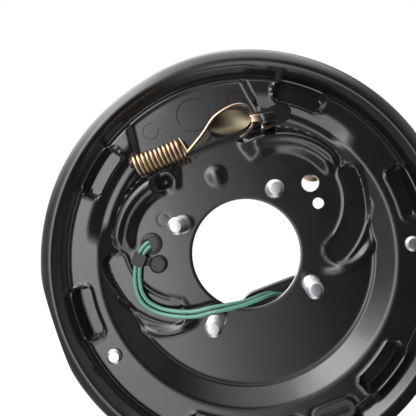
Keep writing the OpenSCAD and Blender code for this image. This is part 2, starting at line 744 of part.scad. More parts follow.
// Headed pin that joins the lever and the strut
module lever_pivot_pin() {
  head = lever_top + gap;
  low = strut_low - gap;
  color("#c9ccd0") plan() translate([lever_pivot[0], lever_pivot[1], 0]) rotate_extrude() polygon([
    [0, head + 2.5], [pivot_d / 2 + 2, head + 2.5], [pivot_d / 2 + 3, head + 1.5], [pivot_d / 2 + 3, head],
    [pivot_d / 2, head], [pivot_d / 2, low], [pivot_d / 2 + 2.5, low], [pivot_d / 2 + 2.5, low - 1.5],
    [pivot_d / 2 - 0.5, low - 1.5], [pivot_d / 2 - 1, low - 3], [0, low - 3]]);
}

// Arched bar over the hub that pushes the primary shoe
module strut() {
  wide = strut_top - strut_low + 5;
  fork_z = strut_line[len(strut_line) - 1][1];
  slot_end = strut_edge + strut_travel;
  color("#7d8085") plan() difference() {
    union() {
      flat_bar(smooth(strut_line, 3), strut_w, strut_low, strut_top);
      post(lever_pivot, 2 * pivot_boss_r - 2, strut_low, strut_top);
      block([strut_edge - 7, fork_z - 6, web_mid - wide / 2], [slot_end + 6, fork_z + 6, web_mid + wide / 2]);
    }
    post(lever_pivot, pivot_d + 2 * fit, strut_low - past, strut_top + past);
    block([strut_edge - 8, fork_z - 7, web_low - gap], [slot_end, fork_z + 7, web_top + gap]);
  }
}

// Return spring of the hand brake lever, hooked in the plate and round the lever's neck
module lever_return_spring() {
  z = lever_spring_at[0];
  h = lever_spring_at[1];
  r = lever_spring_r;
  x0 = lever_spring_x[0];
  x1 = lever_spring_x[1];
  steps = 12;
  tail = [[hook_hole[0], hook_hole[1], -2], [hook_hole[0], hook_hole[1], 6],
    [hook_hole[0] + 0.8, hook_hole[1] + 2, 11], [x0 - 1.5, z + r * 0.9, h + 1]];
  hook = [[x1 + 2.5, z - r * 0.6, h + r * 0.75], [2, z + 3, h + 6.5], [14, z + 11, h + 6.8],
    [28, z + 13.4, h + 6.5], [35.4, z + 10.5, h + 4], [37.2, z + 6, h - 1.5],
    [34, z + 0.4, h - 1.5], [27, z - 2.6, h + 0.5], [20, z - 3.2, h + 2.5]];
  color("#c9a53f") plan() wire(concat(tail, coil([x0, z, h], r, x1 - x0, lever_spring_turns, steps, 0),
    smooth(hook, 3)), spring_wire, 6);
}

// Rubber plug in an adjuster slot, with a sunken face
module adjuster_plug(s) {
  at = [s * plug_at[0], plug_at[1]];
  color("#202124") plan() difference() {
    union() {
      slot(at, 26.4, 10.4, ring_h, ring_h + 1.6);
      slot(at, 23.8, 7.8, ring_h - sheet_t - 1.5, ring_h + 0.1);
      block([at[0] - 8, at[1] + 3.5, ring_h - sheet_t - 1.5], [at[0] + 8, at[1] + 4.8, ring_h - sheet_t]);
    }
    slot(at, 20, 4.4, ring_h - 1.4, ring_h + 3);
  }
}

module adjuster_plug_left() adjuster_plug(-1);
module adjuster_plug_right() adjuster_plug(1);

module wire_grommet() {
  at = [-large_hole[0], large_hole[1]];
  color("#3f4246") plan() difference() {
    translate([at[0], at[1], 0]) rotate_extrude() polygon([
      [0, 4.2], [5, 4.2], [7, 3], [7.6, disc_h], [large_hole_r - fit, disc_h],
      [large_hole_r - fit, disc_h - sheet_t], [7, disc_h - sheet_t], [6.4, -sheet_t - 1.8],
      [0, -sheet_t - 1.8]]);
    block([at[0] - 9, at[1] - 6, 1.2], [lead_a_route[0][0] + gap, at[1] + 3.9, 9]);
  }
}

// Push-in clip with an arm and a loop round both wires
module wire_clip() {
  at = [-small_hole[0], small_hole[1]];
  loop = (lead_a_route[4] + lead_b_route[4]) / 2;
  reach = [loop[0] - at[0], loop[1] - at[1]];
  color("#141517") plan() {
    translate([at[0], at[1], 0]) rotate_extrude() polygon([
      [0, 3], [4.6, 3], [6, 1.8], [6, disc_h], [small_hole_r - 0.3, disc_h], [small_hole_r - 0.3, -sheet_t],
      [small_hole_r + 0.8, -sheet_t - 0.8], [1, -sheet_t - 4], [0, -sheet_t - 4]]);
    translate([at[0], at[1], 0]) rotate(atan2(reach[1], reach[0]))
      block([4, -3, 0.2], [norm(reach) - 1, 3, loop[2] - lead_d / 2 - 0.6]);
    translate(loop) rotate(50) rotate([90, 0, 90]) translate([0, 0, -4])
      linear_extrude(8) difference() {
        square([2 * lead_d + 3.2, lead_d + 2.4], center = true);
        square([2 * lead_d + 1, lead_d + 0.6], center = true);
      }
  }
}

module magnet_lead_a() color("#1f8a70") plan() wire(magnet_lead_route, lead_d, 8);
module magnet_lead_b() color("#1f8a70") plan()
  wire([for (p = magnet_lead_route) p + magnet_lead_step], lead_d, 8);
module lead_wire_a() color("#1f8a70") plan() wire(smooth(lead_a_route, 2), lead_d, 8);
module lead_wire_b() color("#1f8a70") plan() wire(smooth(lead_b_route, 2), lead_d, 8);

backing_plate();
mounting_studs();
anchor_base_plate();
anchor_post();
anchor_rivets();
primary_shoe();
primary_lining();
secondary_shoe();
secondary_lining();
actuating_arm();
magnet_body();
magnet_face();
magnet_spring();
magnet_clip();
return_spring_primary();
return_spring_secondary();
adjuster_nut();
star_wheel_screw();
adjuster_cap();
adjuster_spring();
hold_down_pin_left();
hold_down_spring_left();
hold_down_cup_left();
hold_down_pin_right();
hold_down_spring_right();
hold_down_cup_right();
handbrake_lever();
lever_pivot_pin();
strut();
lever_return_spring();
adjuster_plug_left();
adjuster_plug_right();
wire_grommet();
wire_clip();
magnet_lead_a();
magnet_lead_b();
lead_wire_a();
lead_wire_b();
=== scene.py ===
import math
import bpy
import numpy as np
from mathutils import Matrix, Vector


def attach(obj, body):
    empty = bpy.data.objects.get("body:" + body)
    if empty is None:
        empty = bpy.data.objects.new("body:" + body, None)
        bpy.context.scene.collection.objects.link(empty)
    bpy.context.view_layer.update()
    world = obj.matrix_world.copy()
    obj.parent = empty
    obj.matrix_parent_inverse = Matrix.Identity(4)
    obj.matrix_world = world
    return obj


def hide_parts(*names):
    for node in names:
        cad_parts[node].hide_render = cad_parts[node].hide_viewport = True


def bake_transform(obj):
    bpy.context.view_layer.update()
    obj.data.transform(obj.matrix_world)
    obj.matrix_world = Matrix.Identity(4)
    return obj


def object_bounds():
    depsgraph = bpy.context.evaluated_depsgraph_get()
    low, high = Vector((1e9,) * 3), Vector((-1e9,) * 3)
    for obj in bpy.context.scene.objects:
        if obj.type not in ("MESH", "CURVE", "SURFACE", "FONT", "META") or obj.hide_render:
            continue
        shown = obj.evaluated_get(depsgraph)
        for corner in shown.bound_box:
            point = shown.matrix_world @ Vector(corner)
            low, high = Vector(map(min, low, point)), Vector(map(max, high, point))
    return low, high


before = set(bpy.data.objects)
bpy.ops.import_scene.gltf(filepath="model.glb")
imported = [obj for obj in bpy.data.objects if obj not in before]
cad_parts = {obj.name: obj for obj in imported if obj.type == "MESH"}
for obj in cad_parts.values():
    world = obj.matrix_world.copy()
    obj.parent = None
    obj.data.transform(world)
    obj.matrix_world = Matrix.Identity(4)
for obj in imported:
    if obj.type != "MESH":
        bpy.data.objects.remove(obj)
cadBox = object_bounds()
mm = 0.001


def place(x, z, h):  # plan place in millimetres: x right, z up, h out towards the axle
    return Vector((x, -h, z)) * mm


def say(stage):
    print("stage:", stage)


# small helpers
def clearSelection():
    if bpy.context.object and bpy.context.object.mode != "OBJECT":
        bpy.ops.object.mode_set(mode="OBJECT")
    bpy.ops.object.select_all(action="DESELECT")


def pick(*pieces):
    clearSelection()
    for piece in pieces:
        piece.select_set(True)
    bpy.context.view_layer.objects.active = pieces[0]
    return pieces[0]


def join(name, pieces):
    pick(*pieces)
    bpy.ops.object.join()
    bpy.context.object.name = name
    return bpy.context.object


def cleanUp(threshold=2e-6, loose=False):  # in edit mode, with all selected
    bpy.ops.mesh.select_all(action="SELECT")
    bpy.ops.mesh.remove_doubles(threshold=threshold)
    if loose:
        bpy.ops.mesh.delete_loose()
        bpy.ops.mesh.select_all(action="SELECT")
    bpy.ops.mesh.normals_make_consistent(inside=False)


def bevelEdges(piece, width, segments=2, angle=40):
    pick(piece)
    bevel = piece.modifiers.new("bevel", "BEVEL")
    bevel.width = width * mm
    bevel.segments = segments
    bevel.limit_method = "ANGLE"
    bevel.angle_limit = math.radians(angle)
    bevel.harden_normals = False
    bpy.ops.object.modifier_apply(modifier=bevel.name)


def settle(piece, name, body, material, nodes=(), angle=35):
    pick(piece)
    piece.name = name
    bpy.ops.object.transform_apply(location=True, rotation=True, scale=True)
    piece.data.materials.clear()
    piece.data.materials.append(material)
    bpy.ops.object.shade_smooth_by_angle(angle=math.radians(angle))
    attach(piece, body)
    if nodes:
        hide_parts(*nodes)
    return piece


def turned(outline, centre, axis=(0, -1, 0), across=(1, 0, 0), steps=64):
    # A closed outline of radius and height, spun round an axis
    clearSelection()
    bpy.ops.mesh.primitive_circle_add(vertices=len(outline), radius=0.01)
    piece = bpy.context.object
    up, out = Vector(axis), Vector(across)
    for vertex, (r, h) in zip(piece.data.vertices, outline):
        vertex.co = centre + (out * r + up * h) * mm
    bpy.ops.object.mode_set(mode="EDIT")
    bpy.ops.mesh.select_all(action="SELECT")
    bpy.ops.mesh.spin(steps=steps, angle=2 * math.pi, center=centre, axis=up)
    cleanUp(loose=True)
    bpy.ops.object.mode_set(mode="OBJECT")
    return piece


def pressedOut(outline, low, high, bevel=0.4):
    # A flat outline in plan, extruded towards the axle and bevelled
    clearSelection()
    bpy.ops.mesh.primitive_circle_add(vertices=len(outline), radius=0.01, fill_type="NGON")
    piece = bpy.context.object
    for vertex, (x, z) in zip(piece.data.vertices, outline):
        vertex.co = place(x, z, low)
    bpy.ops.object.mode_set(mode="EDIT")
    bpy.ops.mesh.select_all(action="SELECT")
    bpy.ops.mesh.extrude_region_move(TRANSFORM_OT_translate={"value": place(0, 0, high - low)})
    cleanUp()
    bpy.ops.object.mode_set(mode="OBJECT")
    if bevel:
        bevelEdges(piece, bevel)
    return piece


def ringPoints(centre, radius, start=0.0, end=360.0, count=32):
    return [(centre[0] + radius * math.cos(math.radians(a)), centre[1] + radius * math.sin(math.radians(a)))
            for a in np.linspace(start, end, count, endpoint=abs(end - start) < 359.9)]


def wireLine(name, points, diameter, caps=True, roundness=4):
    data = bpy.data.curves.new(name, "CURVE")
    data.dimensions = "3D"
    data.bevel_depth = diameter / 2 * mm
    data.bevel_resolution = roundness
    data.use_fill_caps = caps
    line = data.splines.new("POLY")
    line.points.add(len(points) - 1)
    for point, p in zip(line.points, points):
        point.co = (*place(*p), 1)
    piece = bpy.data.objects.new(name, data)
    bpy.context.scene.collection.objects.link(piece)
    return piece


def springWire(name, points, diameter, body, material, node):
    piece = wireLine(name, points, diameter)
    pick(piece)
    bpy.ops.object.convert(target="MESH")
    return settle(bpy.context.object, name, body, material, [node], 60)


def smoothLine(points, steps):  # a smooth curve through all the points
    p = [np.array(q, float) for q in points]
    line = []
    for i in range(len(p) - 1):
        a, b, c, d = p[max(i - 1, 0)], p[i], p[i + 1], p[min(i + 2, len(p) - 1)]
        for k in range(steps):
            t = k / steps
            line.append(0.5 * (2 * b + (c - a) * t + (2 * a - 5 * b + 4 * c - d) * t * t
                               + (3 * b - a - 3 * c + d) * t * t * t))
    return [tuple(q) for q in line + [p[-1]]]


def coilPoints(start, radius, length, turns, steps, angle=0.0):
    return [(start[0] + length * i / (turns * steps),
             start[1] + radius * math.cos(math.radians(angle + 360 * i / steps)),
             start[2] + radius * math.sin(math.radians(angle + 360 * i / steps)))
            for i in range(turns * steps + 1)]


# camera and light
cameraView = {"place": (20.2, -314.6, 29.1), "turn": 21.0, "tilt": (4.57, 3.04), "focal": 464.2,
              "centre": (233.5, 164.8), "frame": 416}


def addCamera():
    turn = Matrix.Rotation(math.radians(cameraView["turn"]), 3, "Y")
    lean = Vector((math.radians(cameraView["tilt"][0]), 0, math.radians(cameraView["tilt"][1])))
    look = turn @ Matrix.Rotation(lean.length, 3, lean.normalized())
    right, ahead, up = look.col[0], look.col[1], look.col[2]
    data = bpy.data.cameras.new("photoCamera")
    data.sensor_width = 36
    data.sensor_fit = "HORIZONTAL"
    data.lens = 36 * cameraView["focal"] / cameraView["frame"]
    half = cameraView["frame"] / 2
    data.shift_x = (half - cameraView["centre"][0]) / cameraView["frame"]
    data.shift_y = (cameraView["centre"][1] - half) / cameraView["frame"]
    data.clip_start = 0.01
    camera = bpy.data.objects.new("photoCamera", data)
    bpy.context.scene.collection.objects.link(camera)
    camera.matrix_world = Matrix.Translation(Vector(cameraView["place"]) * mm) @ Matrix(
        (right, up, -ahead)).transposed().to_4x4()
    bpy.context.scene.camera = camera


studio = {"left": 4.0, "above": 2.6, "softBox": 1.4,
          "levels": [(0.0, 0.4), (0.14, 0.6), (0.24, 2.4), (0.3, 4.0), (0.375, 4.0), (0.43, 1.6), (0.475, 0.9),
                     (0.52, 0.33), (0.56, 0.06), (0.75, 0.05), (1.0, 0.5)]}


def addStudio():
    scene = bpy.context.scene
    scene.view_settings.view_transform = "Standard"
    world = bpy.data.worlds.new("studioWorld")
    scene.world = world
    world.use_nodes = True
    nodes, links = world.node_tree.nodes, world.node_tree.links
    nodes.clear()
    out = nodes.new("ShaderNodeOutputWorld")
    mix = nodes.new("ShaderNodeMixShader")
    shown = nodes.new("ShaderNodeBackground")
    lit = nodes.new("ShaderNodeBackground")
    rays = nodes.new("ShaderNodeLightPath")
    seen = nodes.new("ShaderNodeMath")
    seen.operation = "MAXIMUM"
    shown.inputs["Color"].default_value = (1, 1, 1, 1)
    links.new(rays.outputs["Is Camera Ray"], seen.inputs[0])
    links.new(rays.outputs["Is Transmission Ray"], seen.inputs[1])
    links.new(seen.outputs[0], mix.inputs[0])
    links.new(lit.outputs[0], mix.inputs[1])
    links.new(shown.outputs[0], mix.inputs[2])
    links.new(mix.outputs[0], out.inputs[0])
    # The room is bright on the left and above, and dark on the right
    spot = nodes.new("ShaderNodeTexCoord")
    split = nodes.new("ShaderNodeSeparateXYZ")
    links.new(spot.outputs["Generated"], split.inputs[0])
    side = nodes.new("ShaderNodeValToRGB")
    shift = nodes.new("ShaderNodeMapRange")
    shift.inputs["From Min"].default_value = -1
    shift.inputs["From Max"].default_value = 1
    links.new(split.outputs["X"], shift.inputs["Value"])
    links.new(shift.outputs[0], side.inputs[0])
    stops = studio["levels"]
    ramp = side.color_ramp
    while len(ramp.elements) < len(stops):
        ramp.elements.new(0.5)
    for element, (where, level) in zip(ramp.elements, stops):
        element.position = where
        element.color = (level / studio["left"],) * 3 + (1,)
    above = nodes.new("ShaderNodeMapRange")
    above.interpolation_type = "SMOOTHSTEP"
    above.inputs["From Min"].default_value = 0.42
    above.inputs["From Max"].default_value = 0.85
    above.inputs["To Max"].default_value = studio["above"]
    links.new(split.outputs["Z"], above.inputs["Value"])
    total = nodes.new("ShaderNodeMath")
    total.operation = "MULTIPLY_ADD"
    low = nodes.new("ShaderNodeMapRange")
    low.inputs["From Min"].default_value = -0.45
    low.inputs["From Max"].default_value = 0.1
    low.inputs["To Min"].default_value = 0.6 * studio["left"]
    low.inputs["To Max"].default_value = 1.2 * studio["left"]
    links.new(split.outputs["Z"], low.inputs["Value"])
    links.new(low.outputs[0], total.inputs[1])
    links.new(side.outputs[0], total.inputs[0])
    links.new(above.outputs[0], total.inputs[2])
    links.new(total.outputs[0], lit.inputs["Strength"])

    light = bpy.data.lights.new("softBox", "AREA")
    light.shape = "RECTANGLE"
    light.size, light.size_y = 0.5, 0.5
    light.energy = studio["softBox"]
    lamp = bpy.data.objects.new("softBox", light)
    scene.collection.objects.link(lamp)
    lamp.location = (-0.35, -0.95, 0.62)
    lamp.rotation_euler = (Vector((0, 0, 0)) - lamp.location).to_track_quat("-Z", "Y").to_euler()

    clearSelection()
    bpy.ops.mesh.primitive_plane_add(size=12, location=(0, 0, cadBox[0][2]))
    floor = bpy.context.object
    floor.name = "studioFloor"
    paper = bpy.data.materials.new("paper")
    paper.use_nodes = True
    nodes, links = paper.node_tree.nodes, paper.node_tree.links
    nodes["Principled BSDF"].inputs["Base Color"].default_value = (0.86, 0.86, 0.86, 1)
    nodes["Principled BSDF"].inputs["Roughness"].default_value = 0.9
    rays = nodes.new("ShaderNodeLightPath")
    glow = nodes.new("ShaderNodeEmission")
    mix = nodes.new("ShaderNodeMixShader")
    share = nodes.new("ShaderNodeMath")
    share.operation = "MULTIPLY"
    share.inputs[1].default_value = 0.9
    links.new(rays.outputs["Is Camera Ray"], share.inputs[0])
    links.new(share.outputs[0], mix.inputs[0])
    links.new(nodes["Principled BSDF"].outputs[0], mix.inputs[1])
    links.new(glow.outputs[0], mix.inputs[2])
    clear = nodes.new("ShaderNodeBsdfTransparent")
    through = nodes.new("ShaderNodeMixShader")  # the glossy black plate mirrors the dark room, not the paper
    links.new(rays.outputs["Is Glossy Ray"], through.inputs[0])
    links.new(mix.outputs[0], through.inputs[1])
    links.new(clear.outputs[0], through.inputs[2])
    links.new(through.outputs[0], nodes["Material Output"].inputs[0])
    floor.data.materials.append(paper)


addCamera()
addStudio()
say("camera, floor and light")


# finishes
def newGroup(name, ins, outs):
    group = bpy.data.node_groups.new(name, "ShaderNodeTree")
    for label, kind, value in ins:
        socket = group.interface.new_socket(label, in_out="INPUT", socket_type=kind)
        if value is not None:
            socket.default_value = value
    for label, kind in outs:
        group.interface.new_socket(label, in_out="OUTPUT", socket_type=kind)
    return group, group.nodes.new("NodeGroupInput"), group.nodes.new("NodeGroupOutput")


def speckleGroup():  # fine grain and slow cloudiness in one mask each
    group, ins, outs = newGroup("surfaceGrain", [("Vector", "NodeSocketVector", None), ("Scale", "NodeSocketFloat", 400.0)],
                                [("Grain", "NodeSocketFloat"), ("Cloud", "NodeSocketFloat")])
    nodes, links = group.nodes, group.links
    for label, factor, detail in (("Grain", 1.0, 2.0), ("Cloud", 0.09, 4.0)):
        noise = nodes.new("ShaderNodeTexNoise")
        noise.inputs["Detail"].default_value = detail
        times = nodes.new("ShaderNodeMath")
        times.operation = "MULTIPLY"
        times.inputs[1].default_value = factor
        links.new(ins.outputs["Scale"], times.inputs[0])
        links.new(times.outputs[0], noise.inputs["Scale"])
        links.new(ins.outputs["Vector"], noise.inputs["Vector"])
        links.new(noise.outputs[0], outs.inputs[label])
    return group


def zincGroup():  # the pink, green and straw tints of yellow zinc
    group, ins, outs = newGroup("zincTints", [("Vector", "NodeSocketVector", None), ("Scale", "NodeSocketFloat", 90.0)],
                                [("Color", "NodeSocketColor")])
    nodes, links = group.nodes, group.links
    noise = nodes.new("ShaderNodeTexNoise")
    noise.inputs["Detail"].default_value = 3.0
    links.new(ins.outputs["Vector"], noise.inputs["Vector"])
    links.new(ins.outputs["Scale"], noise.inputs["Scale"])
    tint = nodes.new("ShaderNodeValToRGB")
    stops = [(0.3, (0.40, 0.36, 0.17, 1)), (0.41, (0.52, 0.42, 0.22, 1)), (0.48, (0.56, 0.42, 0.30, 1)),
             (0.58, (0.54, 0.34, 0.27, 1)), (0.74, (0.46, 0.36, 0.18, 1))]
    while len(tint.color_ramp.elements) < len(stops):
        tint.color_ramp.elements.new(0.5)
    for element, (where, color) in zip(tint.color_ramp.elements, stops):
        element.position, element.color = where, color
    links.new(noise.outputs[0], tint.inputs[0])
    links.new(tint.outputs[0], outs.inputs["Color"])
    return group


grainEffect = speckleGroup()
zincEffect = zincGroup()


def finish(name, dark, light, rough, metallic=0.0, scale=400.0, bump=0.1, depth=0.05, coat=0.0, coatRough=0.1,
           specular=0.5, tinted=False):
    material = bpy.data.materials.new(name)
    material.use_nodes = True
    nodes, links = material.node_tree.nodes, material.node_tree.links
    shader = nodes["Principled BSDF"]
    shader.inputs["Metallic"].default_value = metallic
    shader.inputs["Specular IOR Level"].default_value = specular
    shader.inputs["Coat Weight"].default_value = coat
    shader.inputs["Coat Roughness"].default_value = coatRough
    spot = nodes.new("ShaderNodeTexCoord")
    grain = nodes.new("ShaderNodeGroup")
    grain.node_tree = grainEffect
    grain.inputs["Scale"].default_value = scale
    links.new(spot.outputs["Object"], grain.inputs["Vector"])
    color = nodes.new("ShaderNodeMix")
    color.data_type = "RGBA"
    color.inputs["A"].default_value = (*dark, 1)
    color.inputs["B"].default_value = (*light, 1)
    links.new(grain.outputs["Cloud"], color.inputs["Factor"])
    base = color.outputs["Result"]
    if tinted:
        tint = nodes.new("ShaderNodeGroup")
        tint.node_tree = zincEffect
        links.new(spot.outputs["Object"], tint.inputs["Vector"])
        film = nodes.new("ShaderNodeMix")
        film.data_type = "RGBA"
        film.inputs["Factor"].default_value = 0.85
        links.new(base, film.inputs["A"])
        links.new(tint.outputs["Color"], film.inputs["B"])
        base = film.outputs["Result"]
    links.new(base, shader.inputs["Base Color"])
    sheen = nodes.new("ShaderNodeMapRange")
    sheen.inputs["From Min"].default_value = 0.3
    sheen.inputs["From Max"].default_value = 0.7
    sheen.inputs["To Min"].default_value = rough[0]
    sheen.inputs["To Max"].default_value = rough[1]
    links.new(grain.outputs["Cloud"], sheen.inputs["Value"])
    links.new(sheen.outputs[0], shader.inputs["Roughness"])
    if bump:
        relief = nodes.new("ShaderNodeBump")
        relief.inputs["Strength"].default_value = bump
        relief.inputs["Distance"].default_value = depth * mm
        links.new(grain.outputs["Grain"], relief.inputs["Height"])
        links.new(relief.outputs[0], shader.inputs["Normal"])
    return material


# Black paint of the plate, anchor and rivets; the lever's tab and fold also take it as painted shade
blackPaintAndShade = finish("blackPaintAndShade", (0.004, 0.004, 0.0045), (0.007, 0.007, 0.0075), (0.13, 0.2), scale=700, bump=0.15,
                    depth=0.03, coat=0.5, coatRough=0.08)
whiteZinc = finish("whiteZinc", (0.42, 0.43, 0.45), (0.58, 0.59, 0.61), (0.28, 0.42), 1.0, 900, 0.2, 0.03)
yellowZinc = finish("yellowZinc", (0.50, 0.38, 0.20), (0.66, 0.54, 0.34), (0.24, 0.36), 1.0, 900, 0.2, 0.03, tinted=True)
# A dark copy of the yellow zinc: painted shade for the lever's dished end
zincInPaintedShade = finish("zincInPaintedShade", (0.075, 0.063, 0.040), (0.16, 0.135, 0.09), (0.24, 0.4), 1.0, 260, 0.3, 0.04)
plainSteel = finish("plainSteel", (0.34, 0.35, 0.37), (0.50, 0.51, 0.53), (0.3, 0.48), 1.0, 800, 0.3, 0.04)
shoePaint = finish("shoePaint", (0.030, 0.031, 0.034), (0.055, 0.056, 0.060), (0.42, 0.6), scale=500, bump=0.3, depth=0.06)
liningMix = finish("liningMix", (0.055, 0.050, 0.044), (0.17, 0.155, 0.13), (0.75, 0.92), scale=900, bump=0.8, depth=0.2)
magnetCase = finish("magnetCase", (0.015, 0.015, 0.017), (0.03, 0.03, 0.033), (0.35, 0.5), 0.0, 600, 0.3, 0.05)
magnetPad = finish("magnetPad", (0.03, 0.03, 0.03), (0.09, 0.085, 0.08), (0.6, 0.8), scale=1100, bump=0.6, depth=0.12)
springPaint = finish("springPaint", (0.11, 0.14, 0.09), (0.20, 0.23, 0.17), (0.35, 0.5), 0.3, 800, 0.2, 0.04)
darkRubber = finish("darkRubber", (0.012, 0.012, 0.013), (0.024, 0.024, 0.026), (0.55, 0.72), scale=1200, bump=0.4, depth=0.06)
greyRubber = finish("greyRubber", (0.014, 0.0145, 0.015), (0.028, 0.0285, 0.030), (0.5, 0.66), scale=1200, bump=0.4, depth=0.06)
clipNylon = finish("clipNylon", (0.005, 0.005, 0.0055), (0.010, 0.010, 0.011), (0.38, 0.5), scale=900, bump=0.2, depth=0.04)
tealSleeve = finish("tealSleeve", (0.058, 0.180, 0.130), (0.100, 0.250, 0.190), (0.28, 0.4), scale=1000, bump=0.25, depth=0.03,
                    coat=0.3)
say("finishes")


# lead wires
leads = {"diameter": 2.6,
         "a": [(-57.8, 27.3, 2.8), (-59.9, 26.7, 3), (-62.1, 25.4, 3.4), (-64.2, 23.5, 3.6), (-66.8, 20.5, 3.6),
               (-69.3, 16.7, 3.4), (-71.4, 12, 3.2), (-73, 6.5, 3), (-73.6, 1, 3), (-72.4, -5, 3), (-69, -10, 3),
               (-63.6, -14.6, 3.6), (-57, -18, 5), (-50, -20.6, 7), (-42.5, -22.4, 9), (-34, -23.1, 10.4),
               (-26, -24.9, 9), (-18, -27.2, 5), (-11, -29, 0.6), (-5, -30, -4), (0, -30.8, -9), (4.5, -32.2, -14),
               (8, -35, -18.6), (10.4, -39.2, -22), (11.4, -44, -23.6), (11.6, -49, -24.2)],
         "b": [(-57.8, 30.4, 2.8), (-60.2, 29.8, 3), (-63.2, 28.3, 3.4), (-66.3, 25.9, 3.6), (-69.1, 22.5, 3.6),
               (-71.7, 18.6, 3.4), (-74.2, 13.5, 3.2), (-76.2, 7.5, 3), (-77, 1, 3), (-75.8, -6, 3), (-71.8, -12, 3.2),
               (-66, -16.8, 3.8), (-59, -20.6, 5), (-51, -23.8, 7), (-42.5, -25.6, 9.6), (-34, -26.1, 11.6),
               (-26, -27.4, 11.4), (-18, -29, 8.6), (-11, -30.4, 4.6), (-5, -31.2, 0.2), (0.5, -32, -4.6),
               (5.5, -33, -9.6), (10, -35, -14), (14, -38.4, -17.6), (16.6, -43, -19.6), (17.8, -48, -20.4)]}


def lineLength(points):
    return sum((place(*q) - place(*p)).length for p, q in zip(points, points[1:]))


def addLeads():
    for which in "ab":
        line = smoothLine(leads[which], 4)
        wire = wireLine("leadWire_" + which, line, leads["diameter"], roundness=5)
        wire.data.materials.append(tealSleeve)
        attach(wire, "root")
        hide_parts("lead_wire_" + which)
        print("lead wire", which, round(lineLength(line), 4), "m")
    route = [(-23.5, -68, -51.8), (-23.8, -68, -50), (-27, -67.6, -48.2), (-36, -64.4, -46), (-50, -54.6, -41.5),
             (-60, -40, -36), (-66, -24, -30), (-67, -8, -23), (-63.4, 8, -16), (-59.6, 19, -11), (-58.8, 26.8, -8),
             (-58.8, 27, -5.6)]
    for which, step in (("a", (0, 0, 0)), ("b", (3, 2, 0))):
        line = smoothLine([tuple(np.add(p, step)) for p in route], 5)
        wire = wireLine("magnetLead_" + which, line, leads["diameter"])
        pick(wire)
        bpy.ops.object.convert(target="MESH")
        wire = bpy.context.object
        wire.data.materials.clear()
        wire.data.materials.append(tealSleeve)
        bpy.ops.object.shade_smooth_by_angle(angle=math.radians(50))
        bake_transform(wire)
        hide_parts("magnet_lead_" + which)


addLeads()
say("lead wires")


# stamped backing plate
plate = {"sheet": 3.5, "hub": 36.3, "disc": 84.5, "ring": 8.0, "rim": 139.0, "rimHeight": 12.0, "steps": 480,
         "ledges": (50, 130, 0.5, 179.5, -59.5, 239.5), "ledgeRadius": 112.5, "studs": 33.35, "studHole": 6.35,
         "anchor": (0, 100), "tenonHole": 11.45, "rivetHole": 5.6, "flat": 133.0}


def ease(value, low, high):
    t = np.clip((value - low) / (high - low), 0, 1)
    return t * t * (3 - 2 * t)


def radialLine(radius, upper):  # height of the plain pressed disc, before its details
    low = np.interp(radius, [36, 83.6, 84.6, 85.6, 96.6, 98.6, 116.4, 119.0, 120.6, 126.5],
                    [0, 0, 0.5, 0.4, 7.6, 8, 8, 3.6, 3.1, 11.0])
    high = np.interp(radius, [36, 82, 88, 93, 94.5, 98.5, 105.5, 107.5, 116.4, 119.0, 120.6, 126.5],
                     [0, 0, 0.3, 4.6, 5.0, 5.0, 7.6, 8, 8, 3.6, 3.1, 11.0])
    return low + (high - low) * upper


def arcSpan(x, z, centre, radius, start, end):
    # Distance across an arc, positive outwards, and distance past its ends
    dx, dz = x - centre[0], z - centre[1]
    reach = np.hypot(dx, dz)
    middle, half = (start + end) / 2, abs(end - start) / 2
    turn = (np.degrees(np.arctan2(dz, dx)) - middle + 180) % 360 - 180
    along = np.radians(np.abs(turn) - half) * radius
    return reach - radius, along


def roundBox(across, along, half, corner):  # signed distance to a strip with rounded ends
    a = np.abs(across) - (half - corner)
    b = along + corner
    return np.hypot(np.maximum(a, 0), np.maximum(b, 0)) + np.minimum(np.maximum(a, b), 0) - corner


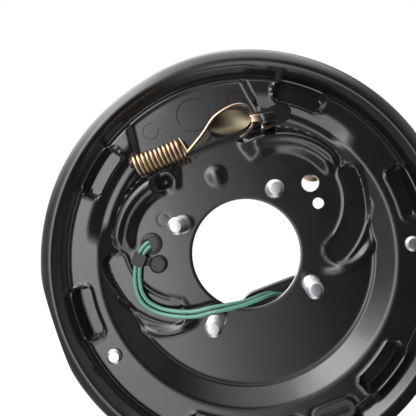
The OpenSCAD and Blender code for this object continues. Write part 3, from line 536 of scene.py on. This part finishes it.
def relief(x, z):
    # Height of the pressed sheet's axle side at a place in plan
    radius = np.hypot(x, z)
    turn = np.degrees(np.arctan2(z, x))
    mirror = np.abs(x)
    upper = ease(turn, 22, 34) * (1 - ease(turn, 146, 158))
    h = radialLine(radius, upper)
    # Curved ribs over the studs: a broad inner slope, a flat, a small step and a round back
    across, along = arcSpan(mirror, z, (35, 22), 43, 19, 97)
    past = np.maximum(along, -4)
    rib = np.interp(across, [-9.2, -8, -4.6, -3.4, -0.6, 0.8, 2.4, 4.4, 9.0, 10.5], [0, 0.4, 3.6, 4.1, 4.3, 5.4, 5.8, 5.4, 1.0, 0])
    rib = rib * (1 - ease(past, -4, 8))
    h = np.maximum(h, rib)
    # Small leaf ribs under the bean hollows
    across, along = arcSpan(mirror, z, (58, 6), 37, -108, -48)
    leaf = 2.6 * (1 - ease(np.abs(across), 0.4, 4.4)) * (1 - ease(along, -12, 4))
    h = np.maximum(h, leaf + np.where(leaf > 0.02, np.minimum(h, 0.4), 0))
    # Bean hollows beside the stud square
    across, along = arcSpan(mirror, z, (38, 23), 47, -66, 4)
    bean = roundBox(across, along - 5.5, 7.0, 6.6)
    lip = 0.7 * np.exp(-((bean - 1.4) / 1.2) ** 2) * (radius < 90)
    h = h + lip
    h = h + (np.minimum(h, -2.0) - h) * (1 - ease(bean, -3.2, 0.6))
    # Ledges for the shoes: deep pockets in the ring
    for angle in plate["ledges"]:
        across, along = arcSpan(x, z, (0, 0), plate["ledgeRadius"] - 1.4, angle - 5.6, angle + 5.6)
        box = roundBox(across, along - 7.0, 6.2, 5.2)
        h = np.where(radius < 122.5, np.maximum(h, 8.3 * (1 - ease(box, 1.3, 4.2))), h)
        h = h + 0.5 * np.exp(-((box - 1.1) / 0.8) ** 2) * (radius < 121)
        h = h + (-1.0 - h) * (1 - ease(box, -2.4, 0.5))
    # Flat pad under the anchor, with folded sides
    side = np.abs(x + 1.0) - np.where(x < 0, 43.5, 42.5) + 0.10 * np.maximum(z - 92, 0)
    pad = np.maximum(np.maximum(side, 76.5 - z), radius - 116.6)
    flat = 1 - ease(pad, -1.6, 2.2)
    h = h + (4.0 - h) * flat
    # Dome, dimple and a faint round mark
    h = h + 1.7 * (1 - ease(np.hypot(x, z - 56), 0.5, 8.4))
    dimple = np.hypot(x + 35, z - 64)
    h = h + (-3.2 - h) * (1 - ease(dimple, 0.0, 9.4))
    h = h - 0.18 * np.exp(-((np.hypot(x + 44, z - 41) - 4) / 0.5) ** 2)
    for s in (-1, 1):  # raised seats for the rubber plugs
        box = roundBox(z + 111, np.abs(x - s * 17.5) - 15, 6.6, 6)
        h = h - 0.5 * (1 - ease(np.abs(box), 0.2, 1.2)) * (np.abs(x - s * 17.5) < 16)
    return h


def plateOutline():
    top = [(r, 0.0) for r in np.concatenate([[plate["hub"] + 0.5], np.arange(38.5, 60, 2.1), np.arange(60, 118.5, 0.8),
                                             np.arange(118.5, 126.6, 0.9)])]
    top = [(r, float(radialLine(np.array([r]), np.array([0.0]))[0])) for r, _ in top]
    top += [(127.2, 11.55), (128, 12.0)]
    top += [(128 + 11 * math.cos(math.radians(a)), 1 + 11 * math.sin(math.radians(a))) for a in range(80, -1, -8)]
    top += [(139, -0.8), (139, -2.6), (138.6, -3.0), (135.9, -3.0), (135.5, -2.6), (135.5, 1)]
    inner = [(128 + 7.5 * math.cos(math.radians(a)), 1 + 7.5 * math.sin(math.radians(a))) for a in range(18, 91, 18)]
    low = [(r, float(radialLine(np.array([r]), np.array([0.0]))[0]) - plate["sheet"]) for r in
           np.concatenate([[126.0, 124.4, 122.8, 121.2, 119.2], np.arange(117, 60, -2.4), np.arange(59, 38, -3), [36.8]])]
    edge = [(plate["hub"] + 0.1, -3.1), (plate["hub"], -2.6), (plate["hub"], -0.6), (plate["hub"] + 0.12, -0.15)]
    return top + inner + low + edge


def addPlate():
    piece = turned(plateOutline(), Vector((0, 0, 0)), steps=plate["steps"])
    # The details are pressed into both sides of the sheet
    count = len(piece.data.vertices)
    co = np.zeros(count * 3)
    piece.data.vertices.foreach_get("co", co)
    co = co.reshape(-1, 3)
    x, z = co[:, 0] / mm, co[:, 2] / mm
    radius = np.hypot(x, z)
    lift = relief(x, z) - radialLine(radius, np.zeros(count))
    lift = lift * (radius < 124.0)
    co[:, 1] -= lift * mm
    piece.data.vertices.foreach_set("co", co.ravel())
    piece.data.update()
    # Punched holes, cut with one joined set of cutters
    cutters = []

    def punch(x, z, r, sides=48):
        bpy.ops.mesh.primitive_cylinder_add(vertices=sides, radius=r * mm, depth=0.08, location=place(x, z, 0),
                                            rotation=(math.pi / 2, 0, 0))
        cutters.append(bpy.context.object)

    def punchBox(x0, z0, x1, z1, bevel=0.8):
        bpy.ops.mesh.primitive_cube_add(size=1, location=place((x0 + x1) / 2, (z0 + z1) / 2, 0),
                                        scale=((x1 - x0) * mm, 0.08, (z1 - z0) * mm))
        cutters.append(bpy.context.object)

    clearSelection()
    for x in (-1, 1):
        for z in (-1, 1):
            punch(x * plate["studs"], z * plate["studs"], plate["studHole"])
        punch(x * 31, 100, plate["rivetHole"])
        punch(x * 57.5, 28.5, 5.9)
        punch(x * 57.5, 14, 3.8, 32)
        punch(x * 103, -31, 2.45, 24)
        punch(x * 17.5 - 8, -111, 4)
        punch(x * 17.5 + 8, -111, 4)
        punchBox(x * 17.5 - 8, -115, x * 17.5 + 8, -107)
    punch(0, 100, plate["tenonHole"], 72)
    punch(-50.5, 82, 1.8, 24)
    punchBox(39.6, 73, 57, 85.7)
    punch(56.6, 79.35, 6.35, 64)
    punchBox(plate["flat"], -60, 150, 60)
    punchBox(-150, -60, -plate["flat"], 60)
    knife = join("plateCutters", cutters)
    knife.data.transform(knife.matrix_world)
    knife.matrix_world = Matrix.Identity(4)
    pick(piece)
    cut = piece.modifiers.new("holes", "BOOLEAN")
    cut.operation = "DIFFERENCE"
    cut.solver = "EXACT"
    cut.use_self = True
    cut.object = knife
    bpy.ops.object.modifier_apply(modifier=cut.name)
    bpy.data.objects.remove(knife)
    return settle(piece, "stampedPlate", "root", blackPaintAndShade, ["backing_plate"], 42)


platePiece = addPlate()
print("plate triangles", sum(len(p.vertices) - 2 for p in platePiece.data.polygons))
say("stamped backing plate")


# studs
stud = {"radius": 5.55, "length": 25.0, "pitch": 1.27, "root": 4.85, "head": 8.95}


def addStuds():
    tip = stud["length"]
    outline = [(0, -7.5), (7.95, -7.5), (stud["head"], -6.5), (stud["head"], -3.5), (stud["radius"] + 0.1, -3.5),
               (stud["radius"] + 0.1, 1.4), (stud["root"], 1.9)]
    h = 1.9
    while h + stud["pitch"] < tip - 1.5:
        outline += [(stud["radius"], h + 0.5), (stud["radius"], h + 0.75), (stud["root"], h + 1.16),
                    (stud["root"], h + stud["pitch"])]
        h += stud["pitch"]
    outline += [(stud["radius"] - 0.2, h + 0.5), (4.25, tip - 0.35), (3.9, tip - 0.08), (3.4, tip), (0, tip)]
    first = turned(outline, Vector((0, 0, 0)), steps=40)
    pieces = []
    for x in (-1, 1):
        for z in (-1, 1):
            twin = first.copy()
            twin.data = first.data.copy()
            bpy.context.scene.collection.objects.link(twin)
            twin.data.transform(Matrix.Translation(place(x * plate["studs"], z * plate["studs"], 0)))
            pieces.append(twin)
    bpy.data.objects.remove(first)
    settle(join("studSet", pieces), "threadedStuds", "root", whiteZinc, ["mounting_studs"], 30)


addStuds()
say("studs")


# springs
lift = {"webTop": -30.9, "webLow": -35.9, "armTop": -40.0, "armLow": -45.0}


def addSprings():
    z, h, r, x0, x1 = 79.4, 12.5, 6.8, -46, -13.4
    tail = [(-50.5, 82, -2), (-50.5, 82, 6), (-49.7, 84, 11), (x0 - 1.5, z + r * 0.9, h + 1)]
    hook = [(x1 + 2.5, z - r * 0.6, h + r * 0.75), (2, z + 3, h + 6.5), (14, z + 11, h + 6.8), (28, z + 13.4, h + 6.5),
            (35.4, z + 10.5, h + 4), (37.4, z + 6, h - 1.5), (36.6, z + 0.4, h - 1.5), (33, z - 3.6, h - 0.4),
            (28.4, z - 6.0, h + 0.6), (24.6, z - 6.8, h + 0.8)]
    springWire("leverReturnSpring", smoothLine(tail[:-1], 4) + coilPoints((x0, z, h), r, x1 - x0, 11, 30)
               + smoothLine(hook, 10), 2.2, "root", yellowZinc, "lever_return_spring")
    # Shoe return springs: round the anchor post's neck, coil, hook into the web
    for s, step, label in ((-1, -1.25, "primary"), (1, 1.25, "secondary")):
        run = np.array([49.0, -20.0])
        length = float(np.hypot(*run))
        hook, r, neck = 9.3, 3.7, lift["armLow"] - 0.3 - 6.6 + step
        start, last = hook + 10, length - 7
        drop = lift["webTop"] + 1 - neck
        local = smoothLine([(-hook * 0.2, -hook * 0.98, 0), (-hook * 0.75, -hook * 0.66, 0), (-hook, 0, 0),
                            (-hook * 0.7, hook * 0.71, 0), (0, hook, 0), (hook * 0.7, hook * 0.78, 0),
                            (start - 6, r * 0.9, 0)], 5)
        local += coilPoints((start, 0, 0), r, last - start, 8, 24)
        local += smoothLine([(last + 3, r * 0.5, 0), (length - 1, 0, 0), (length, 0, 2.5), (length, 0, drop)], 5)
        turn = math.atan2(run[1], run[0])
        line = [(s * (p[0] * math.cos(turn) - p[1] * math.sin(turn)),
                 100 + p[0] * math.sin(turn) + p[1] * math.cos(turn), neck + p[2]) for p in local]
        springWire("returnSpring_" + label, line, 2.2, "root", springPaint, "return_spring_" + label)
    # Adjuster spring
    z, h = -100 + 15 + 3.4 + 1.1 + 1.2, lift["webLow"] - 6.2
    end = (46, -84, lift["webTop"] + 1)
    tail = smoothLine([(end[0] - 10 - 4, z + 1, h), (end[0] - 10, z, h), (end[0] - 3, (z + end[1]) / 2, h),
                       (end[0], end[1], h + 3), end], 5)[3:]
    line = [(-p[0], p[1], p[2]) for p in reversed(tail)] + coilPoints((-30, z, h), 3.4, 60, 12, 24) + tail
    springWire("adjusterSpring", line, 2.2, "root", springPaint, "adjuster_spring")
    # Hold-down springs and the magnet's spring
    coilEnd = lift["webLow"] - 14
    for s, label in ((-1, "left"), (1, "right")):
        high = lift["webLow"] - 1.15
        line = [(s * 103 + 7 * math.cos(2 * math.pi * i / 30), -31 + 7 * math.sin(2 * math.pi * i / 30),
                 high + (coilEnd + 1.15 - high) * i / 120) for i in range(121)]
        springWire("holdDownSpring_" + label, line, 1.8, "root", whiteZinc, "hold_down_spring_" + label)
    top = lift["armLow"] - 7
    line = [(7 + 9.4 * math.cos(2 * math.pi * i / 36), -60 + 9.4 * math.sin(2 * math.pi * i / 36),
             top + 1.15 + 4.7 * i / 108) for i in range(109)]
    springWire("magnetSpring", line, 1.8, "arm", whiteZinc, "magnet_spring")


addSprings()
say("springs")


# hand brake lever
lever = {"tip": (46.5, 78.0), "pivot": (66.0, 38.0), "low": -28.9, "high": -23.9, "outer": 14.0, "spoon": (21.0, 84.2)}


def capsule(a, b, radiusA, radiusB, count=18):
    turn = math.degrees(math.atan2(b[1] - a[1], b[0] - a[0]))
    return ringPoints(b, radiusB, turn - 90, turn + 90, count) + ringPoints(a, radiusA, turn + 90, turn + 270, count)


def addLever():
    pieces = [pressedOut(capsule(lever["tip"], lever["pivot"], 7.8, 9.9), lever["low"], lever["high"], 0.5),
              turned([(0, -36.3), (4.6, -36.3), (4.95, -35.9), (4.95, -27), (0, -27)], Vector((57.5, 0, 59.6)) * mm, steps=32)]
    # Tab through the slot and the folded outer arm
    tab = pressedOut([(41.2, 75.2), (50.8, 75.2), (50.8, 79.9), (41.2, 79.9)], lever["high"] - 0.2, 14.1, 0.5)
    fold = pressedOut([(51, 75.2), (51, 80), (45, 81.4), (41.6, 82.2), (41.6, 76.8), (43, 76.2)], 14.2, 16.8, 0.6)
    # The tab and folded arm belong to the zinc lever; their black is painted shade where the lever lies in shadow at
    # the slot
    settle(join("leverTab", [tab, fold]), "leverTab", "lever", blackPaintAndShade, ["handbrake_lever"], 40)
    pieces.append(pressedOut([(41.5, 76.9), (41.5, 82.0), (38, 83.0), (34, 83.6), (34, 78.8), (38, 78.0)], 14.3, 16.7, 0.5))
    # Dished end: a leaf of rings whose middle is pressed in
    clearSelection()
    rings, sides = 10, 56
    bpy.ops.mesh.primitive_circle_add(vertices=sides, radius=0.01, fill_type="TRIFAN")
    leaf = bpy.context.object
    bpy.ops.object.mode_set(mode="EDIT")
    bpy.ops.mesh.select_all(action="SELECT")
    bpy.ops.mesh.subdivide(number_cuts=rings - 1)
    bpy.ops.object.mode_set(mode="OBJECT")
    for vertex in leaf.data.vertices:
        u, v = vertex.co.x / 0.01, vertex.co.y / 0.01
        reach = min(math.hypot(u, v), 1.0)
        # A pointed leaf, a little fuller above
        half = 7.3 * (1 - abs(u) ** 2.6) ** 0.75 if abs(u) < 1 else 0
        full = math.sqrt(max(1 - u * u, 1e-6))
        x = lever["spoon"][0] + u * 14.6
        z = lever["spoon"][1] + (v / full if full > 1e-3 else 0) * (half + 0.6) - 2.2 * (u - 0.1) - 0.8 * u * u
        dish = 3.0 * (1 - reach ** 2.2)
        vertex.co = place(x, z, lever["outer"] + 2.6 - dish)
    pick(leaf)
    thick = leaf.modifiers.new("sheet", "SOLIDIFY")
    thick.thickness = 1.5 * mm
    thick.offset = 0
    bpy.ops.object.modifier_apply(modifier=thick.name)
    bpy.ops.object.mode_set(mode="EDIT")
    cleanUp(2e-5)
    bpy.ops.object.mode_set(mode="OBJECT")
    # The dished end is the same zinc as the lever, darkened here as painted shade
    settle(leaf, "leverDish", "lever", zincInPaintedShade, ["handbrake_lever"], 40)
    settle(join("leverSet", pieces), "dishedLever", "lever", yellowZinc, ["handbrake_lever"], 40)


addLever()
say("hand brake lever")


# finishes of the CAD pieces
finishOf = {"anchor_base_plate": blackPaintAndShade, "anchor_post": blackPaintAndShade, "anchor_rivets": blackPaintAndShade,
            "primary_shoe": shoePaint, "secondary_shoe": shoePaint, "primary_lining": liningMix,
            "secondary_lining": liningMix, "actuating_arm": yellowZinc, "magnet_body": magnetCase,
            "magnet_face": magnetPad, "magnet_clip": whiteZinc, "adjuster_nut": whiteZinc,
            "star_wheel_screw": yellowZinc, "adjuster_cap": whiteZinc, "hold_down_pin_left": whiteZinc,
            "hold_down_pin_right": whiteZinc, "hold_down_cup_left": yellowZinc, "hold_down_cup_right": yellowZinc,
            "lever_pivot_pin": whiteZinc, "strut": plainSteel, "adjuster_plug_left": darkRubber,
            "adjuster_plug_right": darkRubber, "wire_grommet": greyRubber, "wire_clip": clipNylon}


def paintNodes():
    for name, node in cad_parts.items():
        material = finishOf.get(name)
        if material and not node.hide_render:
            node.data.materials.clear()
            node.data.materials.append(material)


paintNodes()
say("CAD pieces finished")
